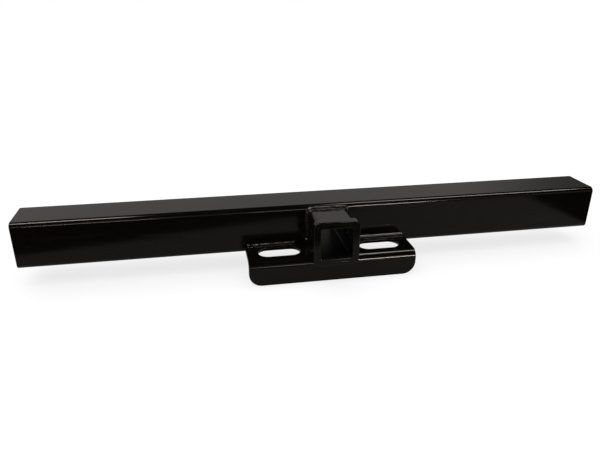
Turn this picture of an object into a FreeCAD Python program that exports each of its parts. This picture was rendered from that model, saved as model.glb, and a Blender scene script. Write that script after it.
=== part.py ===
import FreeCAD, Part
import math
import os

"""Rear trailer hitch: a square cross tube with a receiver socket, its mouth collar and a safety-chain plate.

Millimetres, Z up. X runs along the cross tube and the mouth faces minus Y.
The origin is the centre of the hitch pin hole, on the receiver's own axis.
"""

V = FreeCAD.Vector

# cross tube
bar_length = 977.9
bar_size = 76.2
bar_wall = 4.8
bar_corner_radius = 8.0

# receiver tube
receiver_bore = 50.8
receiver_wall = 6.35
receiver_corner_radius = 8.0
receiver_bore_radius = 2.4
receiver_reach = 73.0
receiver_stub = 6.35
mouth_chamfer = 1.0
window_clearance = 0.4

# hitch pin hole
pin_diameter = 15.9
pin_clearance = 0.4
pin_setback = 41.3

# mouth collar
collar_wall = 5.0
collar_length = 12.7
collar_corner_radius = 10.0
collar_chamfer = 0.9

# safety-chain plate
plate_width = 274.3
plate_thickness = 4.8
plate_seat = 1.55
plate_bend_radius = 12.7
flange_height = 41.0
flange_corner_radius = 21.0
notch_clearance = 0.5
slot_length = 68.6
slot_width = 31.75
slot_spacing = 167.6
slot_weld_gap = 2.6
slot_edge_radius = 0.8

# weld beads
receiver_weld_leg = 7.0
rear_weld_leg = 3.5
plate_weld_leg = 6.4
plate_weld_height = 8.2
plate_weld_inset = 22.0
side_weld_leg = 5.0
collar_weld_leg = 4.0
weld_end_margin = 3.4
weld_top_margin = 1.5
weld_back_fill = 2.0
weld_root = 4.0
weld_bulge = 0.62
weld_steps = ((0.0, 1.0), (0.35, 0.82), (0.7, 0.46), (1.0, 0.02))

# sizes that follow from the ones above
receiver_size = receiver_bore + 2 * receiver_wall
collar_size = receiver_size + 2 * collar_wall
half_bar = bar_size / 2
half_receiver = receiver_size / 2
bar_bottom_z = -half_bar
bar_top_z = half_bar
mouth_y = -pin_setback
bar_front_y = mouth_y + receiver_reach
bar_back_y = bar_front_y + bar_size
bar_mid_y = bar_front_y + half_bar
stub_y = bar_back_y + receiver_stub
collar_back_y = mouth_y + collar_length
plate_bottom_z = -half_receiver - plate_seat
plate_top_z = plate_bottom_z + plate_thickness
flange_front_y = collar_back_y
flange_back_y = flange_front_y + plate_thickness
flange_bottom_z = plate_top_z - flange_height
bend_y = flange_front_y + plate_bend_radius
bend_z = plate_top_z - plate_bend_radius
slot_y = bar_front_y - plate_weld_leg - slot_weld_gap - slot_width / 2
ROOT_HALF = math.sqrt(0.5)


def along_y(y):
    """Places an outline in a plane across the receiver, at one depth."""
    return lambda u, v: V(u, y, v)


def along_x(x):
    """Places an outline in a plane across the cross tube, at one station along it."""
    return lambda u, v: V(x, bar_mid_y + u, v)


def rounded_wire(half_u, half_v, radius, place):
    """Closed rectangle with round corners, centred, put in space by the given placing function."""
    edges = []
    flat_u = half_u - radius
    flat_v = half_v - radius
    diagonal = radius * ROOT_HALF
    corners = ((1, 1), (-1, 1), (-1, -1), (1, -1))
    for index, (su, sv) in enumerate(corners):
        turn = index % 2
        first = (su * half_u, sv * flat_v)
        last = (su * flat_u, sv * half_v)
        if turn:
            first, last = last, first
        middle = (su * (flat_u + diagonal), sv * (flat_v + diagonal))
        edges.append(Part.Arc(place(*first), place(*middle), place(*last)).toShape())
        next_u, next_v = corners[(index + 1) % len(corners)]
        follow = (next_u * half_u, next_v * flat_v) if turn else (next_u * flat_u, next_v * half_v)
        edges.append(Part.LineSegment(place(*last), place(*follow)).toShape())
    return Part.Wire(edges)


def rounded_prism(half, radius, start_y, end_y):
    """Square bar with round corners along Y."""
    face = Part.Face(rounded_wire(half, half, radius, along_y(start_y)))
    return face.extrude(V(0, end_y - start_y, 0))


def box(x0, x1, y0, y1, z0, z1):
    """Plain box between two corners."""
    return Part.makeBox(x1 - x0, y1 - y0, z1 - z0, V(x0, y0, z0))


def one_solid(shape):
    """Merges split faces and returns the only solid of a result."""
    shape = shape.removeSplitter()
    if len(shape.Solids) != 1:
        raise ValueError("expected one solid, found %d" % len(shape.Solids))
    return shape.Solids[0]


def bar_envelope():
    """Outside of the cross tube, taken as solid."""
    face = Part.Face(rounded_wire(half_bar, half_bar, bar_corner_radius, along_x(-bar_length / 2)))
    return face.extrude(V(bar_length, 0, 0))


def receiver_envelope(extra=0.0):
    """Outside of the receiver tube, taken as solid and grown by a clearance."""
    return rounded_prism(half_receiver + extra, receiver_corner_radius + extra, mouth_y, stub_y)


def make_cross_tube():
    """Square tube with a window in its front and rear wall for the receiver."""
    inner_radius = max(bar_corner_radius - bar_wall, bar_wall / 2)
    inner_half = half_bar - bar_wall
    bore = Part.Face(rounded_wire(inner_half, inner_half, inner_radius, along_x(-bar_length / 2)))
    tube = bar_envelope().cut(bore.extrude(V(bar_length, 0, 0)))
    return one_solid(tube.cut(receiver_envelope(window_clearance)))


def make_receiver():
    """Receiver tube with its square socket, eased mouth and the two pin holes."""
    half_bore = receiver_bore / 2
    bore = rounded_prism(half_bore, receiver_bore_radius, mouth_y, stub_y)
    lead_in = Part.makeLoft(
        [
            rounded_wire(half_bore + mouth_chamfer, half_bore + mouth_chamfer,
                         receiver_bore_radius + mouth_chamfer, along_y(mouth_y)),
            rounded_wire(half_bore, half_bore, receiver_bore_radius, along_y(mouth_y + mouth_chamfer)),
        ],
        True, True)
    hole = Part.makeCylinder((pin_diameter + pin_clearance) / 2, collar_size, V(-collar_size / 2, 0, 0), V(1, 0, 0))
    return one_solid(receiver_envelope().cut(bore).cut(lead_in).cut(hole))


def make_collar():
    """Reinforcing band round the mouth, flush with the receiver's end."""
    half = collar_size / 2
    front = collar_chamfer + mouth_y
    body = rounded_prism(half, collar_corner_radius, front, collar_back_y)
    nose = Part.makeLoft(
        [
            rounded_wire(half - collar_chamfer, half - collar_chamfer,
                         collar_corner_radius - collar_chamfer, along_y(mouth_y)),
            rounded_wire(half, half, collar_corner_radius, along_y(front)),
        ],
        True, True)
    return one_solid(body.fuse(nose).cut(receiver_envelope()))


def bent_sheet():
    """Plate folded down at its front edge, before any opening is cut."""
    half = plate_width / 2
    inner_radius = plate_bend_radius - plate_thickness

    def at(y, z):
        return V(-half, y, z)

    outer_mid = at(bend_y - plate_bend_radius * ROOT_HALF, bend_z + plate_bend_radius * ROOT_HALF)
    inner_mid = at(bend_y - inner_radius * ROOT_HALF, bend_z + inner_radius * ROOT_HALF)
    points = [
        at(bar_front_y, plate_bottom_z),
        at(bar_front_y, plate_top_z),
        at(bend_y, plate_top_z),
        at(flange_front_y, bend_z),
        at(flange_front_y, flange_bottom_z),
        at(flange_back_y, flange_bottom_z),
        at(flange_back_y, bend_z),
        at(bend_y, plate_bottom_z),
    ]
    edges = [
        Part.LineSegment(points[0], points[1]).toShape(),
        Part.LineSegment(points[1], points[2]).toShape(),
        Part.Arc(points[2], outer_mid, points[3]).toShape(),
        Part.LineSegment(points[3], points[4]).toShape(),
        Part.LineSegment(points[4], points[5]).toShape(),
        Part.LineSegment(points[5], points[6]).toShape(),
        Part.Arc(points[6], inner_mid, points[7]).toShape(),
        Part.LineSegment(points[7], points[0]).toShape(),
    ]
    return Part.Face(Part.Wire(edges)).extrude(V(plate_width, 0, 0))


def flange_corner(side):
    """Waste outside the round lower corner of the flange."""
    edge = side * plate_width / 2
    centre_x = edge - side * flange_corner_radius
    centre_z = flange_bottom_z + flange_corner_radius
    depth = plate_thickness * 2
    start_y = flange_front_y - plate_thickness / 2
    square = box(min(edge, centre_x), max(edge, centre_x), start_y, start_y + depth, flange_bottom_z, centre_z)
    disc = Part.makeCylinder(flange_corner_radius, depth, V(centre_x, start_y, centre_z), V(0, 1, 0))
    return square.cut(disc)


def slot_cutter(side):
    """Long round-ended opening through the flat of the plate."""
    centre_x = side * slot_spacing / 2
    radius = slot_width / 2
    straight = (slot_length - slot_width) / 2
    start_z = plate_bottom_z - plate_thickness / 2
    height = plate_thickness * 2
    cutter = box(centre_x - straight, centre_x + straight, slot_y - radius, slot_y + radius,
                 start_z, start_z + height)
    for end in (-straight, straight):
        cutter = cutter.fuse(Part.makeCylinder(radius, height, V(centre_x + end, slot_y, start_z)))
    return cutter.removeSplitter()


def slot_rims(shape):
    """Upper edges of both slots."""
    rims = []
    for edge in shape.Edges:
        bound = edge.BoundBox
        level = bound.ZMin > plate_top_z - slot_edge_radius / 2
        inside = bound.YMin > bend_y - slot_edge_radius and bound.YMax < bar_front_y - plate_weld_leg
        beside = min(abs(bound.XMin), abs(bound.XMax)) > half_receiver + notch_clearance * 2
        within = max(abs(bound.XMin), abs(bound.XMax)) < plate_width / 2 - slot_edge_radius
        if level and inside and beside and within:
            rims.append(edge)
    return rims


def make_plate():
    """Folded plate with two chain slots, round flange corners and a notch that seats the receiver."""
    sheet = bent_sheet()
    for side in (-1, 1):
        sheet = sheet.cut(flange_corner(side)).cut(slot_cutter(side))
    half_notch = half_receiver + notch_clearance
    sheet = sheet.cut(box(-half_notch, half_notch, flange_back_y, bar_front_y + bar_wall, -bar_size, bar_size))
    sheet = sheet.cut(box(-half_notch, half_notch, flange_front_y - collar_length, flange_back_y,
                          -half_receiver, bar_size))
    sheet = one_solid(sheet.cut(bar_envelope()))
    return one_solid(sheet.makeFillet(slot_edge_radius, slot_rims(sheet)))


def weld_ring(leg, wall_y, away, back_fill):
    """Rounded fillet bead round the receiver where it meets a wall, filled a little behind the wall's plane."""
    wires = []
    if back_fill > 0:
        half = half_receiver + leg
        wires.append(rounded_wire(half, half, receiver_corner_radius + leg, along_y(wall_y - away * back_fill)))
    for distance, reach in weld_steps:
        half = half_receiver + leg * reach
        radius = receiver_corner_radius + leg * reach
        wires.append(rounded_wire(half, half, radius, along_y(wall_y + away * leg * distance)))
    return Part.makeLoft(wires, True, True).cut(receiver_envelope())


def below_plate_top():
    """Room under the level of the plate's upper face, across the whole part."""
    return box(-plate_width, plate_width, mouth_y - collar_length, stub_y, -bar_size * 2, plate_top_z)


def make_receiver_front_weld():
    """Bead over the top and down both sides of the receiver at the tube's front wall."""
    bead = weld_ring(receiver_weld_leg, bar_front_y, -1, weld_back_fill).cut(bar_envelope())
    top = bar_top_z - weld_top_margin
    cap = box(-bar_size, bar_size, mouth_y, stub_y, top, bar_size)
    return one_solid(bead.cut(cap).cut(below_plate_top()))


def make_receiver_rear_weld():
    """Bead right round the receiver's stub at the tube's rear wall."""
    bead = weld_ring(rear_weld_leg, bar_back_y, 1, weld_back_fill).cut(bar_envelope())
    low = bar_bottom_z + weld_top_margin
    high = bar_top_z - weld_top_margin
    room = box(-bar_size, bar_size, mouth_y, stub_y, low, high)
    return one_solid(bead.common(room))


def make_collar_weld(plate):
    """Small bead behind the collar, over the top and down both sides of the receiver."""
    bead = weld_ring(collar_weld_leg, collar_back_y, 1, 0.0)
    return one_solid(bead.cut(below_plate_top()).cut(plate))


def bead_face(leg, height, place):
    """Section of a rounded fillet bead in a square corner."""
    arc = Part.Arc(place(leg, 0), place(leg * weld_bulge, height * weld_bulge), place(0, height)).toShape()
    foot = Part.LineSegment(place(0, 0), place(leg, 0)).toShape()
    back = Part.LineSegment(place(0, height), place(0, 0)).toShape()
    return Part.Face(Part.Wire([foot, arc, back]))


def make_plate_weld(side, front_weld):
    """Bead along the plate's rear edge on one side of the receiver."""
    start = half_receiver + plate_weld_inset
    end = plate_width / 2 - weld_end_margin
    face = bead_face(plate_weld_leg, plate_weld_height,
                     lambda a, b: V(side * start, bar_front_y - a, plate_top_z + b))
    return one_solid(face.extrude(V(side * (end - start), 0, 0)).cut(front_weld).cut(receiver_envelope()))


def make_side_weld(side, neighbours):
    """Bead that closes the groove between the plate's notch and the receiver's round lower corner."""
    start = bend_y
    end = bar_front_y
    inner = half_receiver - weld_root
    face = bead_face(side_weld_leg, side_weld_leg,
                     lambda a, b: V(side * (half_receiver + a), start, plate_top_z + b))
    bead = face.extrude(V(0, end - start, 0))
    groove = box(inner, half_receiver + notch_clearance, start, end, plate_bottom_z, plate_top_z + side_weld_leg)
    if side < 0:
        groove = groove.mirror(V(0, 0, 0), V(1, 0, 0))
    bead = bead.fuse(groove).cut(receiver_envelope())
    for neighbour in neighbours:
        bead = bead.cut(neighbour)
    bead = bead.cut(bar_envelope())
    return one_solid(bead)


def main():
    """Builds every piece and writes one file for each."""
    os.makedirs("parts", exist_ok=True)
    plate = make_plate()
    front_weld = make_receiver_front_weld()
    left_weld = make_plate_weld(-1, front_weld)
    right_weld = make_plate_weld(1, front_weld)
    pieces = {
        "cross_tube": make_cross_tube(),
        "receiver_tube": make_receiver(),
        "receiver_collar": make_collar(),
        "safety_chain_plate": plate,
        "receiver_front_weld": front_weld,
        "receiver_rear_weld": make_receiver_rear_weld(),
        "collar_weld": make_collar_weld(plate),
        "plate_weld_left": left_weld,
        "plate_weld_right": right_weld,
        "side_weld_left": make_side_weld(-1, (plate, front_weld, left_weld)),
        "side_weld_right": make_side_weld(1, (plate, front_weld, right_weld)),
    }
    for name, shape in pieces.items():
        if not shape.isValid():
            raise ValueError(name + " is not valid")
        shape.exportStep("parts/" + name + ".step")


main()
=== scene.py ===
"""Rear trailer hitch: gives the welded frame its black coat and its rippled beads.

The part stands on a pale floor in a white surround, seen from the photograph's place.
"""

import logging
import math
from dataclasses import dataclass, field
from enum import Enum
from typing import Any

import bmesh
import bpy
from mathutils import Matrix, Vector


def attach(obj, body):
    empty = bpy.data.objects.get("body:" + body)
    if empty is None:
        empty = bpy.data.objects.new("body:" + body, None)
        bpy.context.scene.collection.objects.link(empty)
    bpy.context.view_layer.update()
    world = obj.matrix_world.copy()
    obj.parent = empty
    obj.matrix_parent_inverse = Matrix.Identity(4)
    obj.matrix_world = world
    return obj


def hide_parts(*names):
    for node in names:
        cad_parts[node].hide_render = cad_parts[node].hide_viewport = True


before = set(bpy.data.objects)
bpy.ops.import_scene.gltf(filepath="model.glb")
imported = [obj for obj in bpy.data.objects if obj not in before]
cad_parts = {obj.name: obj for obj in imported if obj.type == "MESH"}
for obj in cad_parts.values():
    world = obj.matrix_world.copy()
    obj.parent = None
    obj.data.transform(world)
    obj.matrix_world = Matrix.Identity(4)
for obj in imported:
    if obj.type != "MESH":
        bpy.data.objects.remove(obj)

log = logging.getLogger("hitch")

MM = 0.001
JOIN_WITHIN = 0.002 * MM
WHITE = (1.0, 1.0, 1.0, 1.0)
SPARKING = ("front_bead", "side_bead_left", "side_bead_right")

Colour = tuple[float, float, float, float]
Place = tuple[float, float, float]
Span = tuple[float, float]
RimPoint = tuple[float, float, float, float]


class Side(Enum):
    """Which side of the receiver a bead lies on."""

    LEFT = -1
    RIGHT = 1


class Facing(Enum):
    """Which way the open face of a bead round the receiver looks along the socket."""

    FRONT = -1
    REAR = 1


class Ease(Enum):
    """How a ramp runs from one end to the other."""

    STRAIGHT = "LINEAR"
    SMOOTH = "SMOOTHSTEP"


class Socket:
    """A node's output that takes part in Python sums, each of which adds a Math node."""

    def __init__(self, graph: "Graph", link: bpy.types.NodeSocket) -> None:
        """Keeps the graph and the output that it stands for."""
        self.graph = graph
        self.link = link

    def _sum(self, operation: str, first: Any, second: Any) -> "Socket":
        """Adds one Math node.

        Args:
            operation: The Math node's operation.
            first: A socket or a number.
            second: A socket or a number.

        Returns:
            The node's result.
        """
        sockets = {0: first, 1: second}
        return self.graph.node("ShaderNodeMath", {"operation": operation}, sockets).out(0)

    def __add__(self, other: Any) -> "Socket":
        """Sum."""
        return self._sum("ADD", self, other)

    def __radd__(self, other: Any) -> "Socket":
        """Sum with the number first."""
        return self._sum("ADD", other, self)

    def __rsub__(self, other: Any) -> "Socket":
        """Difference with the number first."""
        return self._sum("SUBTRACT", other, self)

    def __mul__(self, other: Any) -> "Socket":
        """Product."""
        return self._sum("MULTIPLY", self, other)

    def __rmul__(self, other: Any) -> "Socket":
        """Product with the number first."""
        return self._sum("MULTIPLY", other, self)

    def __gt__(self, other: Any) -> "Socket":
        """One where this is greater."""
        return self._sum("GREATER_THAN", self, other)

    def __abs__(self) -> "Socket":
        """Size without the sign."""
        return self._sum("ABSOLUTE", self, 0.0)

    def most(self, other: Any) -> "Socket":
        """The greater of the two."""
        return self._sum("MAXIMUM", self, other)


class Placed:
    """A node in a graph, with its outputs at hand."""

    def __init__(self, graph: "Graph", made: bpy.types.Node) -> None:
        """Keeps the graph and the node."""
        self.graph = graph
        self.made = made

    def out(self, which: int | str) -> Socket:
        """The output with this number or name."""
        return Socket(self.graph, self.made.outputs[which])


class Graph:
    """A node tree that is filled from Python."""

    def __init__(self, tree: bpy.types.NodeTree) -> None:
        """Keeps the tree."""
        self.tree = tree

    def node(self, kind: str, settings: dict[str, Any],
             sockets: dict[int | str, Any]) -> Placed:
        """Adds one node.

        Args:
            kind: The node's type.
            settings: Its properties, set first.
            sockets: Values or links for its inputs, by number or name.

        Returns:
            The node that was added.
        """
        made = self.tree.nodes.new(kind)
        for name, value in settings.items():
            setattr(made, name, value)
        for which, value in sockets.items():
            self.feed(made.inputs[which], value)
        return Placed(self, made)

    def feed(self, socket: bpy.types.NodeSocket, value: Any) -> None:
        """Links an output to an input, or sets the input's own value.

        Args:
            socket: The input.
            value: A socket or a value.
        """
        if isinstance(value, Socket):
            self.tree.links.new(value.link, socket)
        else:
            socket.default_value = value

    def ramp(self, value: Socket, span: Span, ends: Span, ease: Ease = Ease.SMOOTH) -> Socket:
        """Leads a value's span over into another, and holds it beyond the ends.

        Args:
            value: What is led over.
            span: Where the ramp starts and stops.
            ends: What it gives there.
            ease: How it runs between them.

        Returns:
            The ramp's result.
        """
        sockets = {"Value": value, "From Min": span[0], "From Max": span[1],
                   "To Min": ends[0], "To Max": ends[1]}
        made = self.node("ShaderNodeMapRange", {"interpolation_type": ease.value}, sockets)
        return made.out("Result")


def fresh_material(name: str) -> tuple[bpy.types.Material, Graph]:
    """Makes a material with nothing in its graph yet.

    Args:
        name: The material's name.

    Returns:
        The material and its graph.
    """
    made = bpy.data.materials.new(name)
    made.use_nodes = True
    made.node_tree.nodes.clear()
    return made, Graph(made.node_tree)


def put_in_scene(name: str, data: bpy.types.ID) -> bpy.types.Object:
    """Makes an object of some data and links it to the scene.

    Args:
        name: The object's name.
        data: Its mesh, lamp or camera.

    Returns:
        The object.
    """
    made = bpy.data.objects.new(name, data)
    bpy.context.scene.collection.objects.link(made)
    return made


@dataclass(frozen=True)
class Grain:
    """A noise: its waves in a metre, its octaves, and how strong the small ones are."""

    scale: float
    detail: float
    roughness: float

    def over(self, g: Graph, place: Socket) -> Socket:
        """Spreads the noise over a surface.

        Args:
            g: The material's graph.
            place: The coordinates.

        Returns:
            The noise, from 0 to 1.
        """
        sockets = {"Vector": place, "Scale": self.scale, "Detail": self.detail,
                   "Roughness": self.roughness}
        return g.node("ShaderNodeTexNoise", {}, sockets).out(0)


@dataclass(frozen=True)
class BlackCoat:
    """Glossy black powder coat with orange peel, clouding, dust nibs, and a dull socket whose
    colour is darkened as painted shade.
    """

    name: str
    deep: Colour = (0.0012, 0.0010, 0.0008, 1.0)
    worn: Colour = (0.0028, 0.0023, 0.0018, 1.0)
    dust: Colour = (0.026, 0.023, 0.020, 1.0)
    gloss: Span = (0.09, 0.15)
    specular: float = 0.088
    tint: Colour = (1.0, 0.90, 0.79, 1.0)
    peel: Grain = Grain(620.0, 2.0, 0.5)
    peel_depth: float = 0.05 * MM
    peel_strength: float = 0.22
    grit: Grain = Grain(1900.0, 3.0, 0.6)
    grit_share: float = 0.25
    cloud: Grain = Grain(16.0, 4.0, 0.6)
    streak: Grain = Grain(1.0, 5.0, 0.65)
    streak_scale: Place = (9.0, 60.0, 60.0)
    film_span: Span = (0.50, 0.78)
    film_dust: float = 0.06
    film_dullness: float = 0.05
    nib_scale: float = 420.0
    nib_chance: float = 0.985
    nib_span: Span = (0.05, 0.30)
    nib_dust: float = 0.7
    nib_dullness: float = 0.2
    nib_height: float = 1.6
    socket_half: float = 25.4 * MM
    socket_edge: Span = (0.1 * MM, 0.6 * MM)
    socket_dullness: float = 0.14

    def material(self) -> bpy.types.Material:
        """Makes the coat.

        Returns:
            A material that reads Object coordinates.
        """
        made, g = fresh_material(self.name)
        place = g.node("ShaderNodeTexCoord", {}, {}).out("Object")
        cloud = self.cloud.over(g, place)
        nib = self._nibs(g, place)
        film = self._film(g, place)
        dull_shaded_socket = self._dull_shaded_socket(g, place)
        # Painted shade: within the socket the colour is held at the deep tone, darker than the
        # clouded coat outside.
        tone = self._blend(g, cloud * (1.0 - dull_shaded_socket), self.deep, self.worn)
        dusty = nib * self.nib_dust + film * self.film_dust
        colour = self._blend(g, dusty, tone, self.dust)
        low, high = self.gloss
        rough = (low + (high - low) * cloud + film * self.film_dullness
                 + nib * self.nib_dullness + dull_shaded_socket * self.socket_dullness)
        height = (self.peel.over(g, place) + self.grit.over(g, place) * self.grit_share
                  + nib * self.nib_height)
        bump = g.node("ShaderNodeBump", {}, {
            "Strength": self.peel_strength, "Distance": self.peel_depth, "Height": height})
        coat = g.node("ShaderNodeBsdfPrincipled", {}, {
            "Base Color": colour, "Roughness": rough, "Normal": bump.out("Normal"),
            "Specular IOR Level": self.specular, "Specular Tint": self.tint})
        g.node("ShaderNodeOutputMaterial", {}, {"Surface": coat.out("BSDF")})
        return made

    def _blend(self, g: Graph, share: Socket, first: Any, second: Any) -> Socket:
        """Mixes two colours.

        Args:
            g: The material's graph.
            share: How much of the second colour shows.
            first: A colour or a socket.
            second: A colour or a socket.

        Returns:
            The mixed colour.
        """
        sockets = {0: share, 6: first, 7: second}
        return g.node("ShaderNodeMix", {"data_type": "RGBA"}, sockets).out(2)

    def _nibs(self, g: Graph, place: Socket) -> Socket:
        """The few specks of dust that lie under the coat.

        Args:
            g: The material's graph.
            place: The coordinates.

        Returns:
            The mask, one in the middle of a speck.
        """
        cells = g.node("ShaderNodeTexVoronoi", {"feature": "F1"},
                       {"Vector": place, "Scale": self.nib_scale})
        split = g.node("ShaderNodeSeparateColor", {}, {"Color": cells.out("Color")})
        core = g.ramp(cells.out("Distance"), self.nib_span, (1.0, 0.0))
        return core * (split.out("Red") > self.nib_chance)

    def _film(self, g: Graph, place: Socket) -> Socket:
        """The thin film of dust, in streaks along the bar.

        Args:
            g: The material's graph.
            place: The coordinates.

        Returns:
            The mask, one where the film is thickest.
        """
        drawn = g.node("ShaderNodeMapping", {}, {"Vector": place, "Scale": self.streak_scale})
        streak = self.streak.over(g, drawn.out("Vector"))
        return g.ramp(streak, self.film_span, (0.0, 1.0))

    def _dull_shaded_socket(self, g: Graph, place: Socket) -> Socket:
        """Where the coat is dull, and its colour is held at the deep tone as painted shade,
        within the square socket.

        Args:
            g: The material's graph.
            place: The coordinates.

        Returns:
            The mask, one on the socket's walls.
        """
        parts = g.node("ShaderNodeSeparateXYZ", {}, {"Vector": place})
        reach = abs(parts.out("X")).most(abs(parts.out("Z")))
        near, far = (self.socket_half + past for past in self.socket_edge)
        return g.ramp(reach, (near, far), (1.0, 0.0))


@dataclass(frozen=True)
class WeldCoat(BlackCoat):
    """The same coat where it lies over a bead, thicker and less even."""

    gloss: Span = (0.08, 0.16)
    peel: Grain = Grain(480.0, 2.0, 0.5)
    peel_depth: float = 0.10 * MM
    peel_strength: float = 0.35
    grit_share: float = 0.4


def plain_copy(made: bpy.types.Object, name: str) -> bpy.types.Object:
    """Turns what an object's modifiers give into a plain mesh of its own.

    Args:
        made: The object with its modifiers, which is removed.
        name: The new piece's name.

    Returns:
        The new piece, at the origin and without modifiers.
    """
    graph = bpy.context.evaluated_depsgraph_get()
    mesh = bpy.data.meshes.new_from_object(
        made.evaluated_get(graph), preserve_all_data_layers=True, depsgraph=graph)
    old = made.data
    bpy.data.objects.remove(made)
    bpy.data.meshes.remove(old)
    mesh.name = name
    return put_in_scene(name, mesh)


def merged_node(node: str) -> bpy.types.Mesh:
    """A copy of a CAD node's mesh with its loose triangles joined up.

    Args:
        node: The node's name.

    Returns:
        The new mesh.
    """
    work = bmesh.new()
    work.from_mesh(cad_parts[node].data)
    bmesh.ops.remove_doubles(work, verts=work.verts, dist=JOIN_WITHIN)
    mesh = bpy.data.meshes.new(node + "_copy")
    work.to_mesh(mesh)
    work.free()
    return mesh


def settle(piece: bpy.types.Object, nodes: list[str],
           coat: bpy.types.Material) -> None:
    """Dresses a finished piece and puts it in the place of its CAD nodes.

    Args:
        piece: The piece.
        nodes: The nodes that it stands for.
        coat: Its material.
    """
    piece.data.materials.clear()
    piece.data.materials.append(coat)
    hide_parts(*nodes)
    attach(piece, "root")
    piece.data.calc_loop_triangles()
    log.info("%s: %d triangles", piece.name, len(piece.data.loop_triangles))


@dataclass
class SteelPiece:
    """A cut or folded piece of steel whose sharp edges the coat rounds over."""

    name: str
    node: str
    edge_round: float = 0.45 * MM
    edge_steps: int = 2
    sharp: float = math.radians(32.0)
    level: float = math.radians(0.4)
    rounded_from: float = 0.0
    spared: Span = (0.0, 0.0)
    face_weight: int = 80

    def build(self) -> bpy.types.Object:
        """Copies the CAD node, rounds its sharp edges and weights its normals.

        Returns:
            The finished piece.
        """
        mesh = merged_node(self.node)
        work = bmesh.new()
        work.from_mesh(mesh)
        bmesh.ops.dissolve_limit(
            work, angle_limit=self.level, verts=work.verts, edges=work.edges)
        weight = work.edges.layers.float.new("bevel_weight_edge")
        for edge in work.edges:
            outside = min(abs(vert.co.x) for vert in edge.verts) >= self.rounded_from
            kept = all(self.spared[0] < vert.co.y < self.spared[1] for vert in edge.verts)
            sharp = edge.calc_face_angle(0.0) > self.sharp
            edge[weight] = float(outside and not kept and sharp)
        work.to_mesh(mesh)
        work.free()
        if "custom_normal" in mesh.attributes:
            mesh.attributes.remove(mesh.attributes["custom_normal"])
        made = put_in_scene(self.name + "_work", mesh)
        self.soften(made)
        return plain_copy(made, self.name)

    def soften(self, made: bpy.types.Object) -> None:
        """Adds the edge rounding and the weighted normals.

        Args:
            made: The object to finish.
        """
        for face in made.data.polygons:
            face.use_smooth = True
        bevel = made.modifiers.new("edge", "BEVEL")
        bevel.width = self.edge_round
        bevel.segments = self.edge_steps
        bevel.limit_method = "WEIGHT"
        weight = made.modifiers.new("weight", "WEIGHTED_NORMAL")
        weight.weight = self.face_weight

    def dress(self, coat: bpy.types.Material) -> None:
        """Builds the piece and coats it."""
        settle(self.build(), [self.node], coat)


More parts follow.
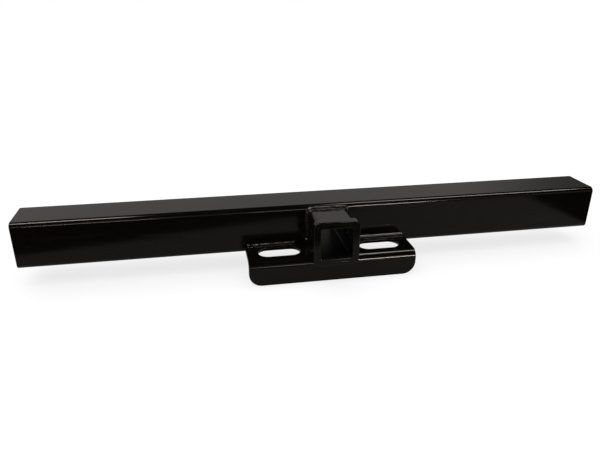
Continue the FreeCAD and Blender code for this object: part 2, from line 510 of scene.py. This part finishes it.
class RippleTree:
    """Geometry Nodes that lay one weld ripple after another along a path.

    Each way in which a ripple varies has its share of the unevenness, and a shift of the
    seed that keeps its random values apart from the others.
    """

    LEAN = (1.2, 11)
    SKEW = (1.0, 23)
    WIDTH = (1.0, 37)
    RISE = (0.7, 41)
    BALL_STEPS = 3
    INPUTS = (
        ("Pitch", "NodeSocketFloat"), ("Length", "NodeSocketFloat"),
        ("Width", "NodeSocketFloat"), ("Height", "NodeSocketFloat"),
        ("Depth", "NodeSocketFloat"), ("Tilt", "NodeSocketFloat"),
        ("Unevenness", "NodeSocketFloat"), ("Seed", "NodeSocketInt"),
        ("Coat", "NodeSocketMaterial"),
    )

    def __init__(self) -> None:
        """Builds the tree once, for every bead to share."""
        self.tree = bpy.data.node_groups.new("weld_ripples", "GeometryNodeTree")
        self._offer("Path", "INPUT", "NodeSocketGeometry")
        self.keys = {name: self._offer(name, "INPUT", kind) for name, kind in self.INPUTS}
        self._offer("Bead", "OUTPUT", "NodeSocketGeometry")
        self._fill(Graph(self.tree))

    def _offer(self, name: str, way: str, kind: str) -> str:
        """Adds a named input or output to the tree.

        Args:
            name: Its name.
            way: Whether it is an input or an output.
            kind: The socket's type.

        Returns:
            The identifier by which a modifier sets it.
        """
        made = self.tree.interface.new_socket(name=name, in_out=way, socket_type=kind)
        return made.identifier

    def _fill(self, g: Graph) -> None:
        """Adds the nodes.

        Args:
            g: The tree's graph.
        """
        given = g.node("NodeGroupInput", {}, {})
        curve = g.node("GeometryNodeMeshToCurve", {}, {"Mesh": given.out("Path")})
        steps = g.node("GeometryNodeResampleCurve", {"mode": "LENGTH"},
                       {"Curve": curve.out("Curve"), "Length": given.out("Pitch")})
        ball = g.node("GeometryNodeMeshIcoSphere", {},
                      {"Radius": 1.0, "Subdivisions": self.BALL_STEPS})
        size = g.node("ShaderNodeCombineXYZ", {}, {
            "X": given.out("Length"), "Y": given.out("Width"), "Z": given.out("Height")})
        lift = g.node("ShaderNodeCombineXYZ", {}, {"Z": given.out("Depth")})
        ripple = g.node("GeometryNodeTransform", {}, {
            "Geometry": ball.out("Mesh"), "Scale": size.out("Vector"),
            "Translation": lift.out("Vector")})
        wide = 1.0 + self._random(g, given, *self.WIDTH)
        tall = 1.0 + self._random(g, given, *self.RISE)
        scale = g.node("ShaderNodeCombineXYZ", {}, {"X": 1.0, "Y": wide, "Z": tall})
        row = g.node("GeometryNodeInstanceOnPoints", {}, {
            "Points": steps.out("Curve"), "Instance": ripple.out("Geometry"),
            "Rotation": self._turn(g, given), "Scale": scale.out("Vector")})
        real = g.node("GeometryNodeRealizeInstances", {}, {"Geometry": row.out("Instances")})
        coated = g.node("GeometryNodeSetMaterial", {}, {
            "Geometry": real.out("Geometry"), "Material": given.out("Coat")})
        g.node("NodeGroupOutput", {}, {"Bead": coated.out("Geometry")})

    def _turn(self, g: Graph, given: Placed) -> Socket:
        """Turns each ripple along the path and outwards, then tilts it unevenly.

        Args:
            g: The tree's graph.
            given: The tree's inputs.

        Returns:
            The rotation.
        """
        outward = g.node("GeometryNodeInputNamedAttribute", {"data_type": "FLOAT_VECTOR"},
                         {"Name": "outward"}).out("Attribute")
        along = g.node("GeometryNodeInputTangent", {}, {}).out("Tangent")
        turned = g.node("FunctionNodeAlignRotationToVector", {"axis": "Z"},
                        {"Vector": outward}).out("Rotation")
        turned = g.node("FunctionNodeAlignRotationToVector", {"axis": "X", "pivot_axis": "Z"},
                        {"Rotation": turned, "Vector": along}).out("Rotation")
        lean = self._random(g, given, *self.LEAN)
        skew = self._random(g, given, *self.SKEW)
        tilt = g.node("ShaderNodeCombineXYZ", {}, {
            "X": lean, "Y": given.out("Tilt") + lean, "Z": skew})
        tilt = g.node("FunctionNodeEulerToRotation", {}, {"Euler": tilt.out("Vector")})
        return g.node("FunctionNodeRotateRotation", {"rotation_space": "LOCAL"}, {
            "Rotation": turned, "Rotate By": tilt.out("Rotation")}).out("Rotation")

    def _random(self, g: Graph, given: Placed, share: float, shift: int) -> Socket:
        """One seeded random value for each ripple, as far below zero as above.

        Args:
            g: The tree's graph.
            given: The tree's inputs.
            share: The greatest value, as a share of the unevenness.
            shift: A number that keeps this value apart from the others.

        Returns:
            The value.
        """
        spread = given.out("Unevenness")
        sockets = {2: spread * -share, 3: spread * share, "Seed": given.out("Seed") + shift}
        return g.node("FunctionNodeRandomValue", {"data_type": "FLOAT"}, sockets).out(1)


@dataclass
class PathPoint:
    """A point of a bead's root, and the way that its face looks there."""

    at: Vector
    outward: Vector


@dataclass
class Bead:
    """A weld bead: the CAD fillet as its body, with overlapping ripples along its root.

    The sizes of a ripple and the draw-in of the body are shares of the bead's leg.
    """

    name: str
    node: str
    path: list[PathPoint]
    leg: float
    seed: int
    pitch_share: float = 0.60
    length_share: float = 0.46
    width_share: float = 0.67
    height_share: float = 0.52
    depth_share: float = 0.36
    draw_share: float = 0.14
    tilt: float = math.radians(27.0)
    unevenness: float = 0.22
    grain: float = 0.40 * MM
    softness: float = 0.5
    smoothing: int = 1

    def build(self, tree: RippleTree, coat: bpy.types.Material) -> bpy.types.Object:
        """Lays the ripples, joins them to the fillet and melts the two into one skin.

        Args:
            tree: The ripple tree.
            coat: The bead's material.

        Returns:
            The finished piece.
        """
        ripples = self._ripples(tree, coat)
        body = self._core()
        work = bmesh.new()
        work.from_mesh(ripples.data)
        work.from_mesh(body)
        mesh = bpy.data.meshes.new(self.name + "_work")
        work.to_mesh(mesh)
        work.free()
        bpy.data.objects.remove(ripples)
        bpy.data.meshes.remove(body)
        made = put_in_scene(self.name + "_work", mesh)
        melt = made.modifiers.new("melt", "REMESH")
        melt.mode = "VOXEL"
        melt.voxel_size = self.grain
        melt.use_smooth_shade = True
        soft = made.modifiers.new("soft", "SMOOTH")
        soft.factor = self.softness
        soft.iterations = self.smoothing
        return plain_copy(made, self.name)

    def _core(self) -> bpy.types.Mesh:
        """The CAD fillet drawn in a little, so that the ripples stand out of it.

        Returns:
            The new mesh.
        """
        mesh = merged_node(self.node)
        work = bmesh.new()
        work.from_mesh(mesh)
        work.normal_update()
        moves = [vert.normal * self.leg * self.draw_share for vert in work.verts]
        for vert, move in zip(work.verts, moves):
            vert.co -= move
        work.to_mesh(mesh)
        work.free()
        return mesh

    def _ripples(self, tree: RippleTree, coat: bpy.types.Material) -> bpy.types.Object:
        """Runs the ripple tree on the bead's path.

        Args:
            tree: The ripple tree.
            coat: The bead's material.

        Returns:
            An object with the ripples as a plain mesh.
        """
        mesh = bpy.data.meshes.new(self.name + "_path")
        links = [(n, n + 1) for n in range(len(self.path) - 1)]
        mesh.from_pydata([p.at for p in self.path], links, [])
        outward = mesh.attributes.new("outward", "FLOAT_VECTOR", "POINT")
        outward.data.foreach_set("vector", [x for p in self.path for x in p.outward])
        made = put_in_scene(self.name + "_path", mesh)
        lay = made.modifiers.new("ripples", "NODES")
        lay.node_group = tree.tree
        values = {
            "Pitch": self.leg * self.pitch_share, "Length": self.leg * self.length_share,
            "Width": self.leg * self.width_share, "Height": self.leg * self.height_share,
            "Depth": self.leg * self.depth_share, "Tilt": self.tilt,
            "Unevenness": self.unevenness, "Seed": self.seed, "Coat": coat,
        }
        for name, value in values.items():
            lay[tree.keys[name]] = value
        return plain_copy(made, self.name + "_ripples")

    def dress(self, tree: RippleTree, coat: bpy.types.Material) -> None:
        """Builds the bead and coats it."""
        settle(self.build(tree, coat), [self.node], coat)


@dataclass
class Receiver:
    """The square socket with its collar, and the beads that run round it."""

    half: float = 31.75 * MM
    corner: float = 8.0 * MM
    bar_front: float = 31.7 * MM
    bar_back: float = 107.9 * MM
    collar_back: float = -28.6 * MM
    plate_top: float = -28.5 * MM
    bead_lift: float = 2.0 * MM
    front_leg: float = 7.0 * MM
    rear_leg: float = 3.5 * MM
    collar_leg: float = 4.0 * MM
    front_seed: int = 5
    rear_seed: int = 8
    collar_seed: int = 13
    corner_steps: int = 10
    pin_rim: Span = (-10.0 * MM, 10.0 * MM)

    def build(self, coat: bpy.types.Material, weld_coat: bpy.types.Material,
              tree: RippleTree) -> None:
        """Makes the tube, the collar and the three beads.

        Args:
            coat: The tube's and the collar's material.
            weld_coat: The beads' material.
            tree: The ripple tree.
        """
        SteelPiece("receiver", "receiver_tube", spared=self.pin_rim).dress(coat)
        SteelPiece("collar", "receiver_collar").dress(coat)
        start = self.plate_top + self.bead_lift
        front = self.ring(self.bar_front, Facing.FRONT, start)
        rear = self.ring(self.bar_back, Facing.REAR, None)
        collar = self.ring(self.collar_back, Facing.REAR, start)
        for bead in (
            Bead("front_bead", "receiver_front_weld", front, self.front_leg, self.front_seed),
            Bead("rear_bead", "receiver_rear_weld", rear, self.rear_leg, self.rear_seed),
            Bead("collar_bead", "collar_weld", collar, self.collar_leg, self.collar_seed),
        ):
            bead.dress(tree, weld_coat)

    def ring(self, wall: float, facing: Facing, start: float | None) -> list[PathPoint]:
        """The root of a bead round the receiver.

        Args:
            wall: Where the wall that it meets stands along the socket.
            facing: Which way the bead's face looks.
            start: The height of an open ring's two ends, or nothing for a closed ring.

        Returns:
            The points in order, clockwise from the lower left.
        """
        inner = self.half - self.corner
        low = -inner if start is None else start
        outline = [(-self.half, low, -1.0, 0.0)]
        outline += self._corner(-inner, inner, 180.0) + self._corner(inner, inner, 90.0)
        if start is None:
            outline += self._corner(inner, -inner, 0.0) + self._corner(-inner, -inner, -90.0)
        else:
            outline.append((self.half, low, 1.0, 0.0))
        return [PathPoint(Vector((x, wall, z)), Vector((nx, facing.value, nz)).normalized())
                for x, z, nx, nz in outline]

    def _corner(self, x: float, z: float, turn: float) -> list[RimPoint]:
        """Points round one corner of the receiver.

        Args:
            x: The corner's centre across.
            z: The corner's centre up.
            turn: The angle at which it starts, in degrees.

        Returns:
            Places and outward directions.
        """
        made = []
        for step in range(self.corner_steps + 1):
            angle = math.radians(turn - 90.0 * step / self.corner_steps)
            c, s = math.cos(angle), math.sin(angle)
            made.append((x + self.corner * c, z + self.corner * s, c, s))
        return made


@dataclass
class ChainPlate:
    """The folded plate under the receiver that takes the safety chains, with its beads."""

    half_width: float = 137.15 * MM
    receiver_half: float = 31.75 * MM
    weld_inset: float = 22.0 * MM
    end_margin: float = 3.4 * MM
    top: float = -28.5 * MM
    bar_front: float = 31.7 * MM
    bend: float = -15.9 * MM
    sharp: float = math.radians(60.0)
    rear_leg: float = 7.4 * MM
    rear_unevenness: float = 0.10
    rear_tilt: float = math.radians(12.0)
    rear_smoothing: int = 6
    rear_end_share: float = 0.36
    rear_seed: int = 20
    side_leg: float = 5.0 * MM
    side_end_share: float = 0.5
    side_seed: int = 29

    def build(self, coat: bpy.types.Material, weld_coat: bpy.types.Material,
              tree: RippleTree) -> None:
        """Makes the plate and its four beads.

        Args:
            coat: The plate's material.
            weld_coat: The beads' material.
            tree: The ripple tree.
        """
        SteelPiece("chain_plate", "safety_chain_plate", sharp=self.sharp).dress(coat)
        for side in Side:
            word = side.name.lower()
            Bead(f"plate_bead_{word}", f"plate_weld_{word}", self.rear_path(side),
                 self.rear_leg, self.rear_seed + side.value, tilt=self.rear_tilt,
                 unevenness=self.rear_unevenness,
                 smoothing=self.rear_smoothing).dress(tree, weld_coat)
            Bead(f"side_bead_{word}", f"side_weld_{word}", self.side_path(side),
                 self.side_leg, self.side_seed + side.value).dress(tree, weld_coat)

    def rear_path(self, side: Side) -> list[PathPoint]:
        """The root of the bead along the plate's rear edge.

        Args:
            side: Which side of the receiver.

        Returns:
            Its two ends.
        """
        outward = Vector((0.0, -1.0, 1.0)).normalized()
        inset = self.rear_leg * self.rear_end_share
        near = self.receiver_half + self.weld_inset + inset
        far = self.half_width - self.end_margin - inset
        return [PathPoint(Vector((side.value * x, self.bar_front, self.top)), outward)
                for x in (near, far)]

    def side_path(self, side: Side) -> list[PathPoint]:
        """The root of the bead between the plate and the receiver's side.

        Args:
            side: Which side of the receiver.

        Returns:
            Its two ends.
        """
        outward = Vector((side.value, 0.0, 1.0)).normalized()
        inset = self.side_leg * self.side_end_share
        return [PathPoint(Vector((side.value * self.receiver_half, y, self.top)), outward)
                for y in (self.bend + inset, self.bar_front - inset)]


@dataclass
class CrossMember:
    """The square cross tube that carries everything else."""

    centre: float = 69.8 * MM
    half: float = 38.1 * MM
    corner: float = 8.0 * MM
    near: float = 0.05 * MM
    ends: float = 480.0 * MM
    edge_round: float = 0.5 * MM
    agreement: float = 0.95

    def build(self, coat: bpy.types.Material) -> None:
        """Makes the tube.

        Args:
            coat: Its material.
        """
        piece = SteelPiece("cross_bar", "cross_tube", edge_round=self.edge_round,
                           rounded_from=self.ends).build()
        self._shade(piece.data)
        settle(piece, ["cross_tube"], coat)

    def _shade(self, mesh: bpy.types.Mesh) -> None:
        """Gives the outer skin its true outline's normals, so that reflections run straight.

        Args:
            mesh: The tube's mesh.
        """
        normals = [Vector(corner.vector) for corner in mesh.corner_normals]
        for face in mesh.polygons:
            for loop in face.loop_indices:
                true = self._outline_normal(mesh.vertices[mesh.loops[loop].vertex_index].co)
                if true is not None and true.dot(face.normal) > self.agreement:
                    normals[loop] = true
        mesh.normals_split_custom_set(normals)

    def _outline_normal(self, at: Vector) -> Vector | None:
        """The way that the tube's outline faces at a point of its outer skin.

        Args:
            at: The point.

        Returns:
            The direction, or nothing for a point off the skin.
        """
        straight = self.half - self.corner
        y, z = at.y - self.centre, at.z
        out = Vector((0.0, y - max(-straight, min(straight, y)),
                      z - max(-straight, min(straight, z))))
        if abs(out.length - self.corner) > self.near:
            return None
        return out.normalized()


def only_in_gloss(thing: bpy.types.Object) -> None:
    """Hides a thing from every ray but a glossy one.

    Args:
        thing: A lamp or a card.
    """
    thing.visible_camera = False
    thing.visible_diffuse = False
    thing.visible_transmission = False
    thing.visible_volume_scatter = False
    thing.visible_shadow = False


@dataclass
class GlintLamp:
    """A lamp that shows only as a reflection in the gloss, on all pieces or on a few."""

    name: str
    at: Place
    aim: Place
    size: Span
    glow: float
    catches: tuple[str, ...] = ()

    def build(self) -> None:
        """Hangs the lamp and turns it to its aim."""
        data = bpy.data.lights.new(self.name, "AREA")
        data.shape = "RECTANGLE"
        data.size, data.size_y = self.size
        data.energy = self.glow * math.pi * self.size[0] * self.size[1]
        lamp = put_in_scene(self.name, data)
        lamp.location = self.at
        way = Vector(self.aim) - Vector(self.at)
        lamp.rotation_euler = way.to_track_quat("-Z", "Y").to_euler()
        only_in_gloss(lamp)
        if self.catches:
            caught = bpy.data.collections.new(self.name + "_catches")
            for piece in self.catches:
                caught.objects.link(bpy.data.objects[piece])
            lamp.light_linking.receiver_collection = caught


@dataclass
class RoomCard:
    """A studio card that only the gloss reflects, such as the dark room round the table."""

    name: str
    corners: list[Place]

    def build(self, paint: bpy.types.Material) -> None:
        """Hangs the card.

        Args:
            paint: Its tone.
        """
        mesh = bpy.data.meshes.new(self.name)
        mesh.from_pydata(self.corners, [], [tuple(range(len(self.corners)))])
        mesh.materials.append(paint)
        card = put_in_scene(self.name, mesh)
        only_in_gloss(card)


@dataclass
class Studio:
    """The pale floor, the white surround, the lamps and the camera."""

    floor_level: float = -69.5 * MM
    floor_half: float = 9.0
    floor_colour: Colour = (0.93, 0.93, 0.93, 1.0)
    floor_glow: float = 0.75
    fill: float = 0.8
    sun: float = 1.7
    sun_spread: float = math.radians(80.0)
    sun_turn: Place = (math.radians(-12.0), math.radians(-14.0), 0.0)
    card_gap: float = 1.0 * MM
    room_half: float = 4.0
    ceiling: float = 2.1
    table_left: Span = (-0.524, -0.088)
    table_corner: Span = (0.500, -0.275)
    table_right: Span = (0.546, -0.089)
    wall_at: float = 1.5
    wall_heights: Span = (0.25, 1.1)
    wall_tone: Span = (0.80, 0.64)
    wall_end: float = 0.32
    tone_across: Span = (-1.0, 1.0)
    tone_fade: Span = (0.9, 1.6)
    tone_rise: Span = (0.56, 0.68)
    tone_gain: Span = (0.95, 1.3)
    tone_green: float = 0.965
    tone_blue: float = 0.94
    socket_tone: float = 0.30
    socket_half: float = 25.3 * MM
    socket_end: float = 113.0 * MM
    camera_at: Place = (-0.20697, -0.81486, 0.36929)
    camera_turn: Place = (66.4712, -0.3199, -10.6906)
    lens: float = 34.0541
    sensor: float = 36.0
    clip_start: float = 0.01
    lamps: list[GlintLamp] = field(default_factory=lambda: [
        GlintLamp("overhead_left", (-0.66, -0.05, 1.2), (-0.66, -0.05, 0.0), (0.44, 0.30), 46.0),
        GlintLamp("overhead_right", (0.80, -0.05, 1.2), (0.80, -0.05, 0.0), (1.02, 0.26), 36.0),
        GlintLamp("spark_middle", (0.27, -0.23, 1.2), (0.0, 0.03, 0.0), (0.20, 0.20), 200.0,
                  SPARKING),
        GlintLamp("spark_left", (-0.80, -0.35, 0.9), (0.0, 0.03, 0.0), (0.22, 0.22), 200.0,
                  SPARKING),
        GlintLamp("window_right", (0.72, -1.9, 0.22), (0.1, 0.0, 0.0), (0.50, 0.12), 200.0),
        GlintLamp("window_middle", (0.21, -1.9, 0.22), (0.0, 0.0, 0.0), (0.34, 0.12), 24.0),
        GlintLamp("window_left", (-0.72, -1.9, 0.22), (-0.3, 0.0, 0.0), (0.6, 0.12), 40.0),
    ])

    def build(self) -> None:
        """Makes the surround in order."""
        self._floor()
        self._world()
        self._soft_light()
        self._cards()
        for lamp in self.lamps:
            lamp.build()
        self._camera()

    def _seen(self, g: Graph) -> Socket:
        """One on rays from the camera, a mirror or glass.

        Args:
            g: The graph.

        Returns:
            The mask.
        """
        path = g.node("ShaderNodeLightPath", {}, {})
        seen = path.out("Is Camera Ray").most(path.out("Is Glossy Ray"))
        return seen.most(path.out("Is Transmission Ray"))

    def _floor(self) -> None:
        """Lays the floor, which glows white where it is seen and still takes the shadow."""
        h, z = self.floor_half, self.floor_level
        mesh = bpy.data.meshes.new("floor")
        mesh.from_pydata([(-h, -h, z), (h, -h, z), (h, h, z), (-h, h, z)], [], [(0, 1, 2, 3)])
        floor = put_in_scene("floor", mesh)
        paint, g = fresh_material("pale_floor")
        pale = g.node("ShaderNodeBsdfDiffuse", {}, {"Color": self.floor_colour})
        glow = g.node("ShaderNodeEmission", {}, {"Color": WHITE, "Strength": 1.0})
        both = g.node("ShaderNodeMixShader", {}, {
            0: self._seen(g) * self.floor_glow, 1: pale.out("BSDF"), 2: glow.out("Emission")})
        g.node("ShaderNodeOutputMaterial", {}, {"Surface": both.out(0)})
        mesh.materials.append(paint)

    def _world(self) -> None:
        """Sets the white surround and its dimmer fill light."""
        world = bpy.data.worlds.new("surround")
        bpy.context.scene.world = world
        world.use_nodes = True
        world.node_tree.nodes.clear()
        g = Graph(world.node_tree)
        fill, bright = (
            g.node("ShaderNodeBackground", {}, {"Color": WHITE, "Strength": strength})
            for strength in (self.fill, 1.0))
        both = g.node("ShaderNodeMixShader", {}, {
            0: self._seen(g), 1: fill.out("Background"), 2: bright.out("Background")})
        g.node("ShaderNodeOutputWorld", {}, {"Surface": both.out(0)})

    def _soft_light(self) -> None:
        """Adds the wide soft light that draws the shadow."""
        data = bpy.data.lights.new("soft_overhead", "SUN")
        data.energy = self.sun
        data.angle = self.sun_spread
        lamp = put_in_scene("soft_overhead", data)
        lamp.rotation_euler = self.sun_turn
        lamp.visible_glossy = False

    def _cards(self) -> None:
        """Lays the dark room round the table, and hangs its ceiling, wall and socket card."""
        dark = self._tone("dark_room", (0.0, 0.0), 1.0)
        wall = self._tone("pale_wall", self.wall_tone, self.wall_end)
        dim = self._tone("dim_corner", (self.socket_tone, self.socket_tone), 1.0)
        h, z, top = self.room_half, self.floor_level + self.card_gap, self.ceiling
        (lx, ly), (cx, cy), (rx, ry) = self.table_left, self.table_corner, self.table_right
        edge = ly + (cy - ly) / (cx - lx) * (-h - lx)
        side = cx + (rx - cx) / (ry - cy) * (h - cy)
        y, (foot, head) = self.wall_at, self.wall_heights
        s, end = self.socket_half, self.socket_end
        for name, paint, corners in (
            ("room_front", dark, [(-h, edge, z), (-h, -h, z), (cx, -h, z), (cx, cy, z)]),
            ("room_right", dark,
             [(cx, cy, z), (cx, -h, z), (h, -h, z), (h, h, z), (side, h, z)]),
            ("dark_ceiling", dark, [(-h, -h, top), (h, -h, top), (h, h, top), (-h, h, top)]),
            ("back_wall", wall, [(-h, y, foot), (h, y, foot), (h, y, head), (-h, y, head)]),
            ("behind_socket", dim, [(-s, end, -s), (s, end, -s), (s, end, s), (-s, end, s)]),
        ):
            RoomCard(name, corners).build(paint)

    def _tone(self, name: str, ends: Span, last: float) -> bpy.types.Material:
        """A card's own glow, which fades to the right and is stronger higher up.

        Args:
            name: The material's name.
            ends: The glow a metre to the left and a metre to the right.
            last: What is left of it further to the right, where the wall turns away.

        Returns:
            The material.
        """
        paint, g = fresh_material(name)
        place = g.node("ShaderNodeTexCoord", {}, {}).out("Object")
        parts = g.node("ShaderNodeSeparateXYZ", {}, {"Vector": place})
        level = g.ramp(parts.out("X"), self.tone_across, ends, Ease.STRAIGHT)
        fade = g.ramp(parts.out("X"), self.tone_fade, (1.0, last))
        rise = g.ramp(parts.out("Z"), self.tone_rise, self.tone_gain, Ease.STRAIGHT)
        tone = level * fade * rise
        warm = g.node("ShaderNodeCombineColor", {}, {
            "Red": tone, "Green": tone * self.tone_green, "Blue": tone * self.tone_blue})
        glow = g.node("ShaderNodeEmission", {}, {"Color": warm.out("Color"), "Strength": 1.0})
        g.node("ShaderNodeOutputMaterial", {}, {"Surface": glow.out("Emission")})
        return paint

    def _camera(self) -> None:
        """Stands the camera where the photograph was taken from."""
        data = bpy.data.cameras.new("camera")
        data.sensor_fit = "HORIZONTAL"
        data.sensor_width = self.sensor
        data.lens = self.lens
        data.clip_start = self.clip_start
        camera = put_in_scene("camera", data)
        camera.location = self.camera_at
        camera.rotation_euler = [math.radians(a) for a in self.camera_turn]
        bpy.context.scene.camera = camera
        bpy.context.scene.view_settings.view_transform = "Standard"


def main() -> None:
    """Builds the hitch and its surround."""
    logging.basicConfig(level=logging.INFO, format="%(name)s %(message)s")
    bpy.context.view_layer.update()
    coat = BlackCoat("black_powder_coat").material()
    weld_coat = WeldCoat("coated_bead").material()
    tree = RippleTree()
    CrossMember().build(coat)
    Receiver().build(coat, weld_coat, tree)
    ChainPlate().build(coat, weld_coat, tree)
    Studio().build()


if __name__ == "__main__":
    main()
